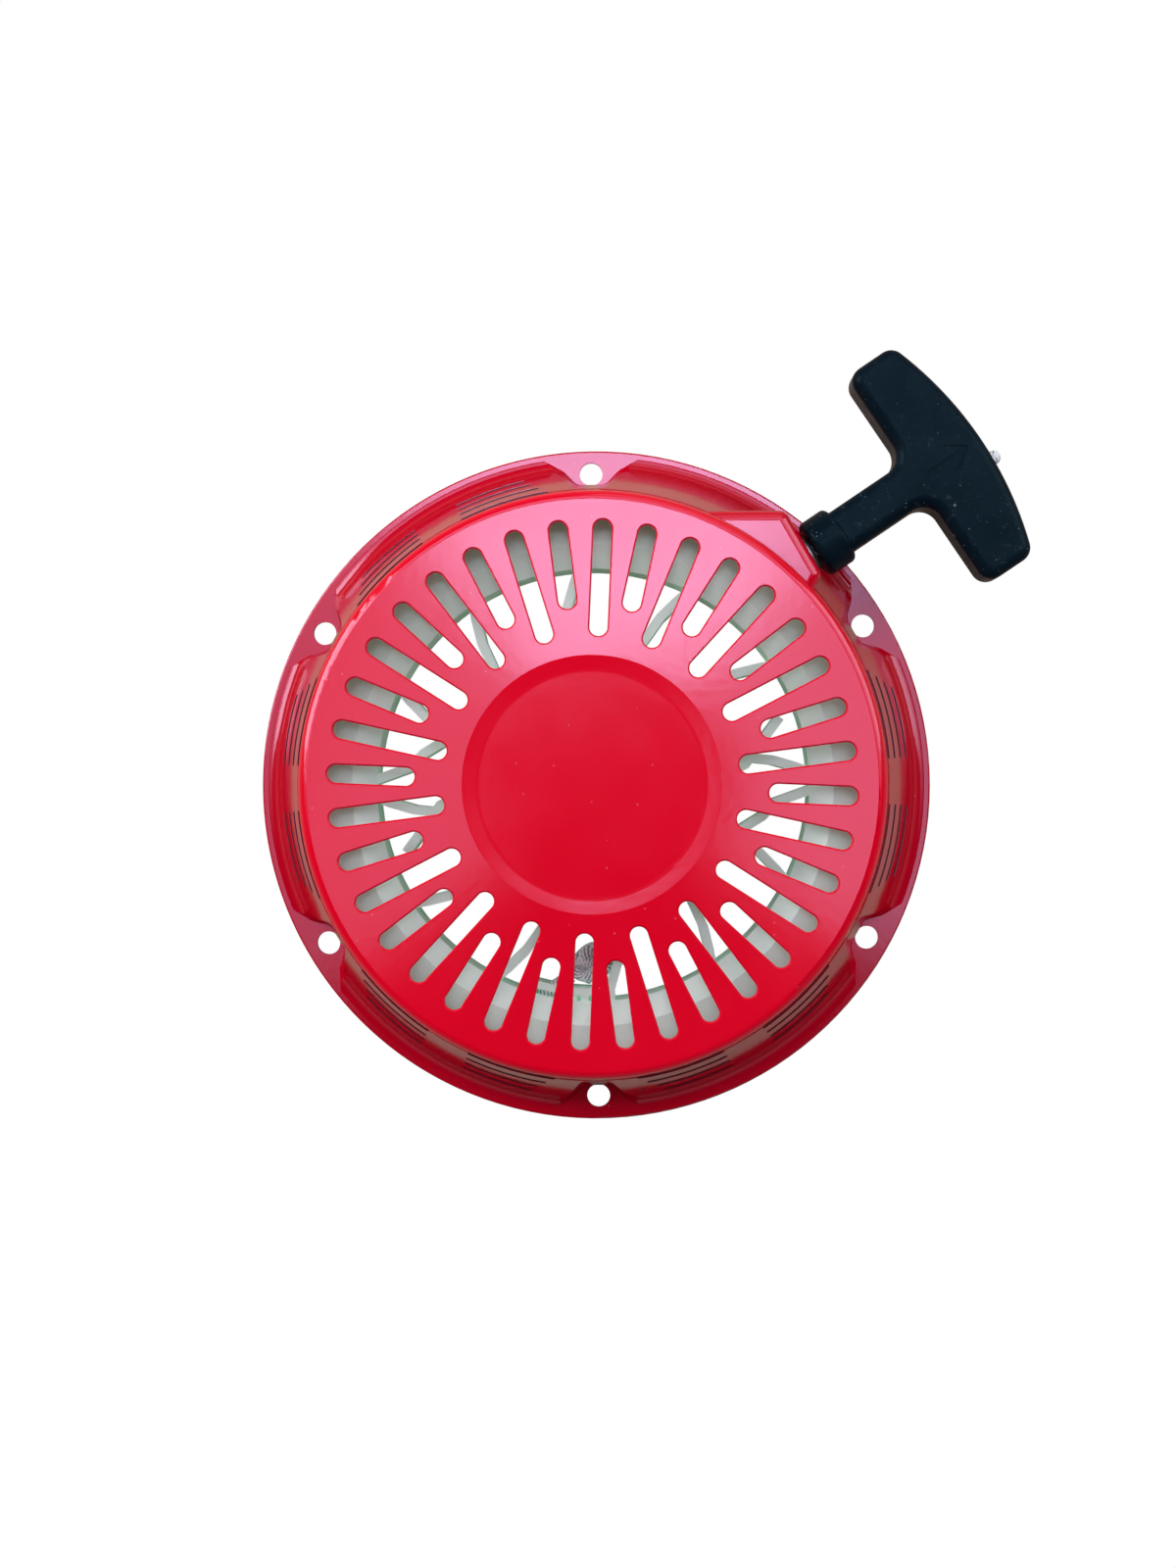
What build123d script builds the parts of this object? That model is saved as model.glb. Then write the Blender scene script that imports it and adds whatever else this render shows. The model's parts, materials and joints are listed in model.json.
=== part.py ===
from build123d import *
import os
from math import acos, atan2, cos, degrees, hypot, pi, radians, sin, tan

# Recoil starter of a small engine, in millimetres. The origin is the centre of the mounting face,
# +Z runs up through the dome, and the rope leaves towards +X and +Y.

# Driving dimensions: the pressed-steel case
SHEET = 1.5
FLANGE_R = 115.0
BOLT_CIRCLE_R = 107.0
BOLT_HOLE_R = 3.95
BOLT_COUNT = 6
BOLT_START = 30.7
DISH_Z = 55.65
DISH_R = 36.0
DISH_EDGE_R = 40.7
CROWN_Z = 56.0
SHOULDER_R = 92.4
SHOULDER_Z = 54.9
WALL_R = 95.0
WALL_Z = 42.0
WALL_SPREAD = 0.36
FOOT_FILLET = 4.8

# Cooling slots in the crown, and the louvre slits in the wall
SLOT_WIDTH = 5.7
SLOT_OUTER_R = 83.4
LONG_SLOT_INNER_R = 46.7
SHORT_SLOT_INNER_R = 55.7
SLOT_COUNT = 36
SLOT_START = 7.5
SLOT_CHAMFER = 0.5
LOUVRE_HEIGHT = 3.0
LOUVRE_ROWS = {40.5: 22.0, 31.5: 20.3, 22.5: 18.8, 13.5: 17.6}
LOUVRE_INNER_ANGLE = 4.4
LOBE_CENTRES = (0.7, 120.7, 180.7, 240.7, 300.7)

# Bolt pockets pressed into the wall at each hole
POCKET_INNER_R = 103.4
POCKET_LEAN = 0.2025
POCKET_END_HALF_WIDTH = 4.9

# Rope and its outlet
ROPE_R = 2.3
ROPE_Z = 36.0
WOUND_R = 78.3
PULL_ANGLE = 34.0
OUTLET_ANGLE = 30.0
OUTLET_X = 69.4
OUTLET_Y = 74.1
BOSS_TOP_Z = 47.5
BOSS_SIDE_Y = 87.5
GRIP_GAP = 2.6

# Reel
BORE_GAP = 0.05
REEL_R = 87.5
RING_INNER_R = 69.6
GROOVE_R = 72.0
GROOVE_LOW_Z = 31.2
GROOVE_TOP_Z = 40.8
RIDGE_R = 77.0
RIDGE_Z = 44.6
HUB_R = 44.0
HUB_WALL = 2.5
WELL_Z = 38.0
HUB_TOP_Z = 50.0
SPOKE_WIDTH = 3.0
SPOKE_LOW_Z = 30.0
SPOKE_TOP_Z = 41.0

# Centre post, screw and pawl gear
POST_R = 9.0
POST_LOW_Z = 18.0
SCREW_R = 3.0
SHOULDER_SCREW_R = 6.0
PAWL_PIVOT_R = 30.0
PAWL_PIN_R = 3.0
PAWL_LOW_Z = 18.6
PAWL_TOP_Z = 22.4
PAWL_ANGLES = (0.0, 180.0)

# Grip
COLLAR_R = 9.75
COLLAR_LENGTH = 10.2
STEM_HALF_WIDTH = 7.3
STEM_END = 39.0
ROOT_R = 6.5
BAR_LENGTH = 80.5
BAR_END_DEPTH = 17.5
BAR_MID_DEPTH = 24.5
GRIP_HALF_THICK = 8.0
GRIP_EDGE_R = 3.6
ARROW_DEPTH = 0.5


def polar(radius, angle, height=0.0):
    """Point at a radius and an angle in degrees about the dome's axis."""
    return (radius * cos(radians(angle)), radius * sin(radians(angle)), height)


def save(node, shape):
    """Write one sub-part."""
    shape.label = node
    export_step(shape, f"parts/{node}.step")
    print(node, round(shape.volume, 1), len(shape.solids()), shape.is_valid)


def ring(outer_r, inner_r, low, top):
    """Plain ring about the dome's axis."""
    height = top - low
    solid = Cylinder(outer_r, height, align=(Align.CENTER, Align.CENTER, Align.MIN))
    if inner_r > 0:
        solid -= Cylinder(inner_r, height, align=(Align.CENTER, Align.CENTER, Align.MIN))
    return Pos(0, 0, low) * solid


def wall_radius(height):
    """Outer radius of a lobe's wall at a height."""
    if height > WALL_Z:
        return WALL_R - (height - WALL_Z) * (WALL_R - SHOULDER_R) / (SHOULDER_Z - WALL_Z)
    return WALL_R + (WALL_Z - height) * WALL_SPREAD


def dome_outline():
    """Half outline of the dome, mirrored to a full face so that an offset keeps its middle."""
    half = [
        (DISH_R, DISH_Z),
        (DISH_EDGE_R, CROWN_Z),
        (SHOULDER_R, SHOULDER_Z),
        (WALL_R, WALL_Z),
        (wall_radius(-10.0), -10.0),
    ]
    radii = [16.0, 2.0, 3.2, 16.0]
    points = half + [(-x, z) for x, z in reversed(half)]
    face = make_face(Polyline(*points, close=True))
    for (x, z), radius in zip(half, radii):
        for side in (1, -1):
            corner = face.vertices().sort_by_distance((side * x, z, 0))[0]
            face = fillet(corner, radius)
    return face


def brimmed(outline, level, radius):
    """Outline above a level, standing on a flat brim with a rounded root between them."""
    face = outline & Pos(0, level + 100) * Rectangle(300, 200)
    face += Pos(0, level - SHEET / 2) * Rectangle(2 * FLANGE_R, SHEET)
    face = make_face(face.faces()[0].outer_wire().edges())
    roots = [v for v in face.vertices() if abs(v.Y - level) < 0.01 and abs(v.X) < FLANGE_R - 1]
    return fillet(roots, radius)


def revolved(face):
    """Turn the right half of a face about the dome's axis."""
    right = face & Pos(150, 0) * Rectangle(300, 300)
    return revolve(Plane.XZ * right, Axis.Z)


def shifted_corners(points, distance):
    """Move each corner of an open chain so that its edges shift sideways by a distance."""
    moved = []
    for index, (x, y) in enumerate(points):
        normals = []
        for first, second in ((index - 1, index), (index, index + 1)):
            if first < 0 or second >= len(points):
                continue
            dx = points[second][0] - points[first][0]
            dy = points[second][1] - points[first][1]
            length = hypot(dx, dy)
            normals.append((-dy / length, dx / length))
        nx = sum(n[0] for n in normals) / len(normals)
        ny = sum(n[1] for n in normals) / len(normals)
        scale = distance / (nx * nx + ny * ny)
        moved.append((x + nx * scale, y + ny * scale))
    return moved


def pocket_section(height, grow):
    """Section of the pocket at one height, in radial and tangential directions."""
    level = max(height, SHEET)
    inner = POCKET_INNER_R - POCKET_LEAN * (level - SHEET)
    spread, rise = (0.95, 12.0) if level == SHEET else (1.3, 4.0)
    depth = max(wall_radius(level) - 1.5 - inner, 2.4)
    side = inner + depth, POCKET_END_HALF_WIDTH + depth * spread
    flare = side[0] + rise, side[1] + 22.0
    chain = [(inner, 0.0), (inner, POCKET_END_HALF_WIDTH), side, flare]
    chain = shifted_corners(chain, grow)[1:]
    chain.append((chain[-1][0] + 20.0, chain[-1][1]))
    points = [(x, -y) for x, y in reversed(chain)] + chain
    face = make_face(Polyline(*points, close=True))
    reach = hypot(depth, depth * spread)
    bottom_radius = min(3.5, reach * 0.9) + grow
    flare_radius = min(9.0, reach * 1.3) - grow
    for (x, y), radius in ((chain[0], bottom_radius), (chain[1], flare_radius)):
        for sign in (1, -1):
            corner = face.vertices().sort_by_distance((x, sign * y, 0))[0]
            face = fillet(corner, radius)
    return Pos(0, 0, height) * face


def pockets(grow, low):
    """All bolt pockets, as tapered cutters."""
    heights = [SHEET, FOOT_FILLET, 34.0, 48.0]
    if low < SHEET:
        heights.insert(0, low)
    one = loft([pocket_section(z, grow) for z in heights], ruled=True)
    angles = [BOLT_START + 360 / BOLT_COUNT * k for k in range(BOLT_COUNT)]
    return [Rot(0, 0, angle) * one for angle in angles]


def boss(shrink, low):
    """Bulge that carries the rope out of the dome along its tangent."""
    nx, ny = cos(radians(OUTLET_ANGLE)), sin(radians(OUTLET_ANGLE))
    end_x, end_y = OUTLET_X - nx * shrink, OUTLET_Y - ny * shrink
    side_y = BOSS_SIDE_Y - shrink
    far_run = (side_y - end_y) / nx
    near_run = 8.2 - shrink
    far = (end_x - ny * far_run, side_y)
    near = (end_x + ny * near_run, end_y - nx * near_run)
    back = (near[0] - 14.0, near[1] - 24.0)
    corners = [(12.0, side_y), far, near, back, (12.0, 40.0)]
    face = make_face(Polyline(*corners, close=True))
    top = BOSS_TOP_Z - shrink
    block = Pos(0, 0, low) * extrude(face, top - low)
    radius = 3.8 - shrink
    uprights = [
        block.edges().filter_by(Axis.Z).sort_by_distance((x, y, (low + top) / 2))[0] for x, y in (far, near)
    ]
    block = fillet(uprights, radius)
    rim = [e for e in block.faces().sort_by(Axis.Z)[-1].edges() if e.center().Y > 50 and e.center().X > 20]
    return fillet(rim, radius - 0.2)


def crown_slots():
    """Radial slots cut square to the crown, with a small chamfer at the mouth."""
    slope = degrees(atan2(CROWN_Z - SHOULDER_Z, SHOULDER_R - DISH_EDGE_R))
    cutters = []
    for index in range(SLOT_COUNT):
        inner_r = LONG_SLOT_INNER_R if index % 2 == 0 else SHORT_SLOT_INNER_R
        length = SLOT_OUTER_R - inner_r
        middle = (SLOT_OUTER_R + inner_r) / 2
        height = CROWN_Z - (middle - DISH_EDGE_R) * tan(radians(slope))
        body = extrude(SlotOverall(length, SLOT_WIDTH), 6, both=True)
        mouth = loft([
            Pos(0, 0, -SLOT_CHAMFER) * SlotOverall(length, SLOT_WIDTH),
            Pos(0, 0, SLOT_CHAMFER) * SlotOverall(length + 4 * SLOT_CHAMFER, SLOT_WIDTH + 4 * SLOT_CHAMFER),
        ])
        place = Rot(0, 0, SLOT_START + index * 360 / SLOT_COUNT) * Pos(middle, 0, height) * Rot(0, slope, 0)
        cutters.append(place * body)
        cutters.append(place * mouth)
    return cutters


def louvre_slits():
    """Thin level slits in the wall of every lobe but the one with the rope outlet."""
    cutters = []
    for centre in LOBE_CENTRES:
        for height, outer_angle in LOUVRE_ROWS.items():
            span = outer_angle - LOUVRE_INNER_ANGLE
            for start in (LOUVRE_INNER_ANGLE, -outer_angle):
                section = Pos(wall_radius(height), height) * Rectangle(9.0, LOUVRE_HEIGHT)
                arc = revolve(Plane.XZ * section, Axis.Z, revolution_arc=span)
                cutters.append(Rot(0, 0, centre + start) * arc)
    return cutters


def pull_frame(distance=0.0, angle=PULL_ANGLE):
    """Frame on the line of pull with Z along the pull and X upwards, at a distance from the outlet."""
    direction = Vector(cos(radians(angle)), sin(radians(angle)), 0)
    origin = Vector(OUTLET_X, OUTLET_Y, ROPE_Z) + direction * distance
    return Plane(origin=origin, x_dir=(0, 0, 1), z_dir=direction)


def make_case():
    """Pressed-steel cover: flange, six lobes between bolt pockets, slotted crown and outlet boss."""
    outline = dome_outline()
    outer_face = brimmed(outline, SHEET, FOOT_FILLET)
    rims = [v for v in outer_face.vertices() if abs(v.Y - SHEET) < 0.01 and abs(v.X) > FLANGE_R - 0.01]
    outside = revolved(fillet(rims, 0.6))
    outside -= pockets(0.0, SHEET)
    outside += boss(0.0, SHEET)
    inside = revolved(brimmed(offset(outline, amount=-SHEET, kind=Kind.INTERSECTION), 0.0, FOOT_FILLET))
    inside -= pockets(SHEET, -9.0)
    inside += boss(SHEET, SHEET)
    case = outside - inside
    holes = [
        Pos(*polar(BOLT_CIRCLE_R, BOLT_START + 360 / BOLT_COUNT * k, 0)) * Cylinder(BOLT_HOLE_R, 20)
        for k in range(BOLT_COUNT)
    ]
    case -= holes
    case -= crown_slots()
    case -= louvre_slits()
    case -= pull_frame(0, OUTLET_ANGLE) * Cylinder(5.8, 12)
    return case


def make_outlet_guide():
    """Rolled steel eyelet that the rope runs through."""
    section = make_face(Polyline(
        (3.4, -4.2), (5.7, -4.2), (5.7, 0.1), (6.6, 0.1), (6.7, 0.7), (6.1, 1.5), (5.0, 1.9), (3.9, 1.4),
        (3.4, 0.4), close=True,
    ))
    return pull_frame(0, OUTLET_ANGLE) * revolve(Plane.XZ * section, Axis.Z)


def make_centre_post():
    """Steel post under the dish, with a threaded bore and a slot for the spring's inner end."""
    under_dish = DISH_Z - SHEET
    post = ring(POST_R, 0, POST_LOW_Z, under_dish)
    post += ring(15.0, 0, under_dish - 1.6, under_dish)
    post -= ring(SCREW_R, 0, POST_LOW_Z - 1, POST_LOW_Z + 16.0)
    slot_low = WELL_Z + 0.5
    slot = Pos(POST_R - 2.0, 0, (slot_low + 50.9) / 2) * Box(4.4, 1.6, 50.9 - slot_low)
    return post - slot


def make_centre_screw():
    """Shouldered hexagon screw that holds the reel and the pawl gear on the post."""
    screw = ring(SCREW_R - BORE_GAP, 0, POST_LOW_Z - 0.5, POST_LOW_Z + 14.0)
    screw += ring(SHOULDER_SCREW_R, 0, 12.0, POST_LOW_Z)
    screw += ring(8.6, 0, 10.6, 12.0)
    head = Pos(0, 0, 6.4) * extrude(RegularPolygon(6.5, 6, major_radius=False), 4.2)
    return screw + head


def make_thrust_washer():
    """Flat washer between the screw's flange and the friction spring."""
    return ring(11.0, SHOULDER_SCREW_R + BORE_GAP, 12.05, 13.2)


def wire_clip(centre, ring_r, wire_r, start, span, leg):
    """Open ring of round wire whose two ends run on as straight legs."""
    arc = CenterArc(centre, ring_r, start, span)
    first = Line((arc @ 0) - (arc % 0) * leg, arc @ 0)
    last = Line(arc @ 1, (arc @ 1) + (arc % 1) * leg)
    path = Wire([first, arc.edge(), last])
    return sweep(Plane(origin=path @ 0, z_dir=path % 0) * Circle(wire_r), path=path)


def make_friction_spring():
    """Wire clip that drags on the screw's washer and holds the guide back."""
    return wire_clip((0, 0, 14.0), 8.4, 0.6, -20, 220, 12.0)


def make_ratchet_guide():
    """Pressed plate with a boss on the screw's shoulder and two fingers that lift the pawls."""
    guide = ring(26.5, SHOULDER_SCREW_R + BORE_GAP, 15.0, 16.6)
    guide += ring(8.4, SHOULDER_SCREW_R + BORE_GAP, 16.6, POST_LOW_Z - 0.1)
    for angle in PAWL_ANGLES:
        finger = ring(25.2, 23.0, 16.0, 21.0)
        wedge = Rot(0, 0, angle - 66) * Pos(24, 0, 18.5) * Box(8, 7.5, 8)
        guide += finger & wedge
        guide -= Rot(0, 0, angle - 20) * Pos(17.5, 0, 15.8) * Cylinder(3.6, 4)
    return guide


def pawl_outline():
    """Hooked arm of a pawl about its pivot, with the tip towards the reel's turn."""
    points = [
        (-1.0, 4.9), (3.2, 3.8), (4.9, 0.0), (4.3, -8.0), (3.4, -16.0), (1.6, -22.5), (-2.6, -23.6),
        (-2.2, -19.0), (-3.4, -13.0), (-4.9, -7.0), (-4.9, 1.0),
    ]
    face = make_face(Polyline(*points, close=True))
    return fillet(face.vertices(), 0.9)


def make_pawl(angle):
    """Pawl with its peg, which turns in the reel's boss."""
    plate = extrude(pawl_outline(), PAWL_TOP_Z - PAWL_LOW_Z)
    pawl = Pos(PAWL_PIVOT_R, 0, PAWL_LOW_Z) * plate
    pawl += Pos(PAWL_PIVOT_R, 0, PAWL_LOW_Z + 7.0) * Cylinder(PAWL_PIN_R, 14.0)
    return Rot(0, 0, angle) * pawl


def make_pawl_spring(angle):
    """Small return spring about the pawl's peg."""
    return Rot(0, 0, angle) * wire_clip((PAWL_PIVOT_R, 0, 23.8), 4.0, 0.4, -10, 200, 8.0)


def rib(points, low, top, width=SPOKE_WIDTH):
    """Upright wall along polar points."""
    chain = [polar(radius, angle)[:2] for radius, angle in points]
    left = shifted_corners(chain, width / 2)
    right = shifted_corners(chain, -width / 2)
    face = make_face(Polyline(*(left + right[::-1]), close=True))
    return Pos(0, 0, low) * extrude(face, top - low)


def rope_anchor_path():
    """Two ends of the run that takes the rope from the groove to its knot."""
    return Vector(*polar(74.6, 253.2, ROPE_Z)), Vector(*polar(62.4, 263.6, ROPE_Z))


def anchor_hole():
    """Hole that the rope's end takes through the rim and the bar behind it."""
    start, end = rope_anchor_path()
    run = end - start
    return Plane(origin=start + run * 0.55, z_dir=run) * Cylinder(ROPE_R + 0.35, run.length + 2.0)


def make_reel_rim():
    """Grooved rim of the reel, with a raised ridge on its upper flange."""
    section = make_face(Polyline(
        (RING_INNER_R, 28.4), (REEL_R, 28.4), (REEL_R, 30.6), (GROOVE_R, GROOVE_LOW_Z),
        (GROOVE_R, GROOVE_TOP_Z), (REEL_R, GROOVE_TOP_Z + 0.4), (REEL_R, 42.4), (RIDGE_R, RIDGE_Z),
        (RING_INNER_R, 41.4), close=True,
    ))
    return revolve(Plane.XZ * section, Axis.Z) - anchor_hole()


def make_reel_spokes():
    """Slanted spokes between hub and rim, the pairs of bracing ribs, and the rope's anchor bar."""
    ribs = []
    for turn in range(12):
        path = [(71.0, 3.0), (65.0, 5.3), (58.0, 8.0), (49.0, 10.5), (43.0, 12.0)]
        ribs.append(rib([(radius, angle + turn * 30) for radius, angle in path], SPOKE_LOW_Z, SPOKE_TOP_Z))
    for turn in (0, 180):
        long_rib = [(71.0, -1.0), (59.0, -5.5), (55.5, -10.5), (50.0, -16.5), (43.0, -19.4)]
        short_rib = [(64.0, 19.9), (57.5, 15.5), (49.5, 7.5), (43.0, 5.0)]
        for path in (long_rib, short_rib):
            ribs.append(rib([(r, a + turn) for r, a in path], SPOKE_LOW_Z, SPOKE_TOP_Z))
    bar = ring(68.0, 65.5, SPOKE_LOW_Z, SPOKE_TOP_Z) & Rot(0, 0, 264) * Pos(66, 0, 36) * Box(16, 27, 14)
    block = ring(70.4, 67.0, SPOKE_LOW_Z, SPOKE_TOP_Z) & Rot(0, 0, 268) * Pos(68, 0, 36) * Box(16, 9, 14)
    ribs += [bar, block]
    for angle in (252.6, 275.2):
        ribs.append(rib([(70.4, angle), (66.0, angle)], SPOKE_LOW_Z, SPOKE_TOP_Z, 2.0))
    spokes = Part() + ribs
    for angle in (266.4, 269.4):
        spokes -= Pos(*polar(68.8, angle, 40.0)) * Rot(0, 0, angle) * Box(1.5, 1.1, 8)
    spokes -= anchor_hole()
    return spokes & ring(RING_INNER_R - 0.02, HUB_R + 0.02, SPOKE_LOW_Z, SPOKE_TOP_Z)


def make_reel_hub():
    """Hub of the reel: spring well above, pawl bosses below, and a bore that turns on the post."""
    hub = ring(HUB_R, HUB_R - HUB_WALL, 24.0, HUB_TOP_Z)
    hub += ring(HUB_R - 1.0, POST_R + BORE_GAP, 34.6, WELL_Z)
    hub += ring(13.0, POST_R + BORE_GAP, POST_LOW_Z + 0.4, WELL_Z - 1)
    for angle in PAWL_ANGLES:
        hub += Pos(*polar(PAWL_PIVOT_R, angle, 30.3)) * Cylinder(6.4, 10.2)
        hub -= Pos(*polar(PAWL_PIVOT_R, angle, 28.7)) * Cylinder(PAWL_PIN_R + BORE_GAP, 9.0)
    for turn in range(6):
        hub += rib([(12.6, turn * 60 + 30), (HUB_R - 2.0, turn * 60 + 30)], 29.0, 35.0, 2.0)
    notch = Pos(HUB_R - 1, 0, 45.0) * Box(8, 2.4, 13.4)
    return hub - notch


def make_recoil_spring():
    """Flat spiral strip of half turns that meet end to end, hooked at the post and the well's wall."""
    thickness = 0.8
    pitch = 2.6
    first_r = 11.2
    strip = Pos((7.2 + first_r) / 2, 0) * Rectangle(first_r - 7.2, thickness)
    for index in range(22):
        radius = first_r + index * pitch / 2
        side = 1 if index % 2 == 0 else -1
        band = Circle(radius + thickness / 2) - Circle(radius - thickness / 2)
        strip += Pos(-side * pitch / 4, 0) * (band & Pos(0, 50 * side) * Rectangle(200, 100))
    strip += Pos(41.2, 0) * Rectangle(3.8, thickness)
    return Pos(0, 0, WELL_Z + 0.9) * extrude(strip, 10.6)


def tangent_start():
    """Point where the rope leaves its outermost turn, and the way it leaves."""
    corner = rope_corner()
    reach = hypot(corner.X, corner.Y)
    angle = degrees(atan2(corner.Y, corner.X)) + degrees(acos(WOUND_R / reach))
    return Vector(*polar(WOUND_R, angle, ROPE_Z))


def rope_corner():
    """Point inside the outlet where the rope turns from its tangent to the line of pull."""
    return pull_frame(-5.0).origin


def make_rope_windings():
    """Closed band that the wound rope fills, two turns wide and two turns deep."""
    return ring(WOUND_R + ROPE_R, GROOVE_R + 0.05, GROOVE_LOW_Z + 0.1, GROOVE_TOP_Z - 0.1)


def make_rope_lead():
    """Taut rope from the windings, round the outlet's inner edge, to the grip's collar."""
    start, corner = tangent_start(), rope_corner()
    end = pull_frame(GRIP_GAP - 0.05).origin
    path = FilletPolyline(start, corner, end, radius=12.0)
    way = (corner - start).normalized()
    rope = sweep(Plane(origin=start, z_dir=way) * Circle(ROPE_R), path=path)
    return rope - ring(WOUND_R + ROPE_R + 0.1, 0, ROPE_Z - 10, ROPE_Z + 10)


def make_rope_anchor():
    """Short run of rope through the reel's ring and bar."""
    start, end = rope_anchor_path()
    run = end - start
    rope = Plane(origin=start + run * 0.5, z_dir=run) * Cylinder(ROPE_R, run.length)
    return rope - ring(WOUND_R + 9, GROOVE_R, GROOVE_LOW_Z, GROOVE_TOP_Z)


def make_knot(place, radius, length):
    """Plain envelope of a knot: a body with rounded ends."""
    body = Cylinder(radius, length)
    return place * fillet(body.edges().filter_by(GeomType.CIRCLE), radius * 0.45)


def make_reel_knot():
    """Knot that holds the rope inside the reel's bar."""
    start, end = rope_anchor_path()
    return make_knot(Plane(origin=end + (end - start).normalized() * 6.6, z_dir=end - start), 5.6, 11.0)


def grip_frame(distance=0.0):
    """Frame on the line of pull, measured from the collar's inner face."""
    return pull_frame(GRIP_GAP + distance)


def grip_outline():
    """Plan of the stem and bar: straight inner edge, bowed outer edge, rounded roots and corners."""
    half = BAR_LENGTH / 2
    outer_end = STEM_END + BAR_END_DEPTH
    inner = Polyline(
        (outer_end, half), (STEM_END, half), (STEM_END, STEM_HALF_WIDTH), (2.0, STEM_HALF_WIDTH),
        (2.0, -STEM_HALF_WIDTH), (STEM_END, -STEM_HALF_WIDTH), (STEM_END, -half), (outer_end, -half),
    )
    bow = ThreePointArc((outer_end, -half), (STEM_END + BAR_MID_DEPTH, 0), (outer_end, half))
    face = make_face(inner.edges() + bow.edges())
    for side in (1, -1):
        for (x, y), radius in (
            ((outer_end, half), 5.0), ((STEM_END, half), 5.0), ((STEM_END, STEM_HALF_WIDTH), ROOT_R),
        ):
            corner = face.vertices().sort_by_distance((x, side * y, 0))[0]
            face = fillet(corner, radius)
    return face


def arrow_mark():
    """Plain arrow along the pull, sunk into the top of the grip."""
    middle = STEM_END + 11.0
    strokes = Pos(middle, 0) * SlotOverall(15.0, 1.0)
    for side in (1, -1):
        strokes += Pos(middle + 4.6, side * 2.1) * Rot(0, 0, -side * 35) * SlotOverall(7.6, 1.0)
    return Pos(0, 0, GRIP_HALF_THICK - ARROW_DEPTH) * extrude(strokes, 2 * ARROW_DEPTH)


def make_grip():
    """One-piece moulded T-grip: collar, stem, bar and the knot's chamber."""
    grip = extrude(grip_outline(), GRIP_HALF_THICK, both=True)
    rims = [e for e in grip.edges() if abs(abs(e.center().Z) - GRIP_HALF_THICK) < 0.01 and e.center().X > 2.5]
    grip = fillet(rims, GRIP_EDGE_R)
    collar = Pos(COLLAR_LENGTH / 2, 0, 0) * Rot(0, 90, 0) * Cylinder(COLLAR_R, COLLAR_LENGTH)
    grip += fillet(collar.edges().filter_by(GeomType.CIRCLE), 1.8)
    slot = Rot(0, 0, 90) * SlotOverall(15, 9.6)
    chamber = Pos(STEM_END + 20, -2.0, 0) * Rot(0, 90, 0) * extrude(slot, 10, both=True)
    bore = Rot(0, 90, 0) * Cylinder(ROPE_R + 0.3, 2 * STEM_END + 30)
    return grip - [chamber, bore, arrow_mark()]


def grip_place(distance=0.0):
    """Place on the line of pull: X along the pull, Z up, measured from the collar's inner face."""
    origin = grip_frame(distance).origin
    return Pos(*origin) * Rot(0, 0, PULL_ANGLE)


def make_rope_in_grip():
    """Rope inside the grip, from the collar to the knot."""
    end = STEM_END + 11.0
    return grip_place() * Pos(end / 2, 0, 0) * Rot(0, 90, 0) * Cylinder(ROPE_R, end)


def make_knot_washer():
    """Steel washer that the knot pulls against."""
    washer = Cylinder(4.6, 1.0) - Cylinder(ROPE_R + 0.1, 2.0)
    return grip_place() * Pos(STEM_END + 10.55, 0, 0) * Rot(0, 90, 0) * washer


def make_grip_knot():
    """Knot in the grip's chamber."""
    return make_knot(grip_place() * Pos(STEM_END + 11.1 + 5.5, 0, 0) * Rot(0, 90, 0), 4.4, 10.6)


def make_rope_tail():
    """Cut and melted end of the rope, which pokes out past the bar's outer edge."""
    tail = Pos(2.9, 0, 0) * Rot(0, 90, 0) * Cylinder(ROPE_R, 5.8)
    return grip_place() * Pos(STEM_END + 22.1, -6.6, 0) * Rot(0, 0, -12) * tail


def build():
    """Write every sub-part."""
    os.makedirs("parts", exist_ok=True)
    save("outlet_guide", make_outlet_guide())
    save("centre_post", make_centre_post())
    save("centre_screw", make_centre_screw())
    save("thrust_washer", make_thrust_washer())
    save("friction_spring", make_friction_spring())
    save("ratchet_guide", make_ratchet_guide())
    for letter, angle in zip("ab", PAWL_ANGLES):
        save(f"pawl_{letter}", make_pawl(angle))
        save(f"pawl_spring_{letter}", make_pawl_spring(angle))
    save("reel_rim", make_reel_rim())
    save("reel_spokes", make_reel_spokes())
    save("reel_hub", make_reel_hub())
    save("recoil_spring", make_recoil_spring())
    save("rope_windings", make_rope_windings())
    save("rope_lead", make_rope_lead())
    save("rope_anchor", make_rope_anchor())
    save("reel_knot", make_reel_knot())
    save("grip", grip_place() * make_grip())
    save("rope_in_grip", make_rope_in_grip())
    save("knot_washer", make_knot_washer())
    save("grip_knot", make_grip_knot())
    save("rope_tail", make_rope_tail())
    save("case", make_case())


build()
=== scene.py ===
"""Looks of the recoil starter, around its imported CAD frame. Lengths are in metres."""
import json
from math import acos, atan2, cos, hypot, pi, radians, sin

import bpy
from mathutils import Matrix, Vector


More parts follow.
